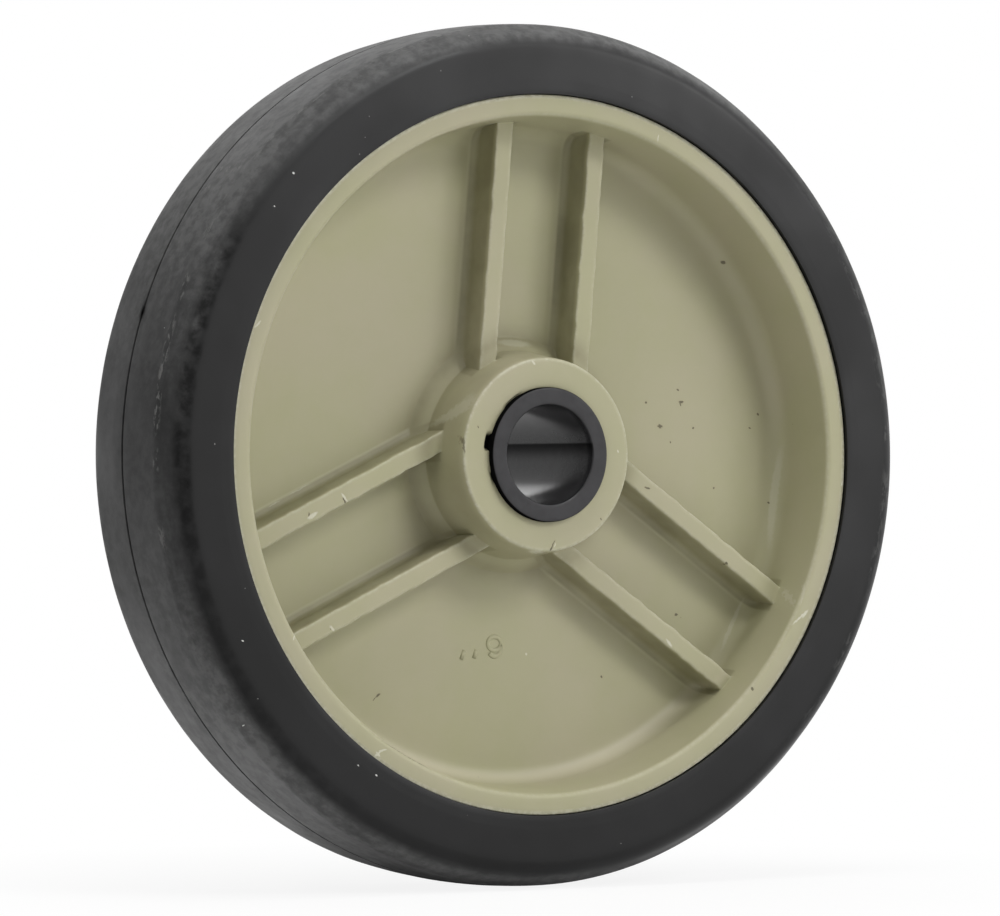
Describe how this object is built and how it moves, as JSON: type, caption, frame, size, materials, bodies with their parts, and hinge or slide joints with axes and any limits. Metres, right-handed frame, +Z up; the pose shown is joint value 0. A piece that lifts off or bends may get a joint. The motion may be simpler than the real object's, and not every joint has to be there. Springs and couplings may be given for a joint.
{
  "type": "replacement wheel",
  "caption": "Solid rubber-tyred wheel with a dished, ribbed plastic centre and a plain bush bore for an axle.",
  "frame": {"origin": "centre of the wheel, on the axle's axis midway between the two sides", "axes": "+Y along the axle, +Z up as the wheel stands on its tread, the pictured side faces -Y"},
  "size_m": [0.1524, 0.0318, 0.1524],
  "materials": {
    "tyre": "moulded black rubber, satin with dull patches",
    "centre": "olive beige moulded plastic, satin",
    "bush": "black moulded plastic, smooth bore"
  },
  "bodies": {
    "root": {"tyre": "tyre", "wheel_centre": "centre", "bush": "bush"}
  },
  "joints": []
}
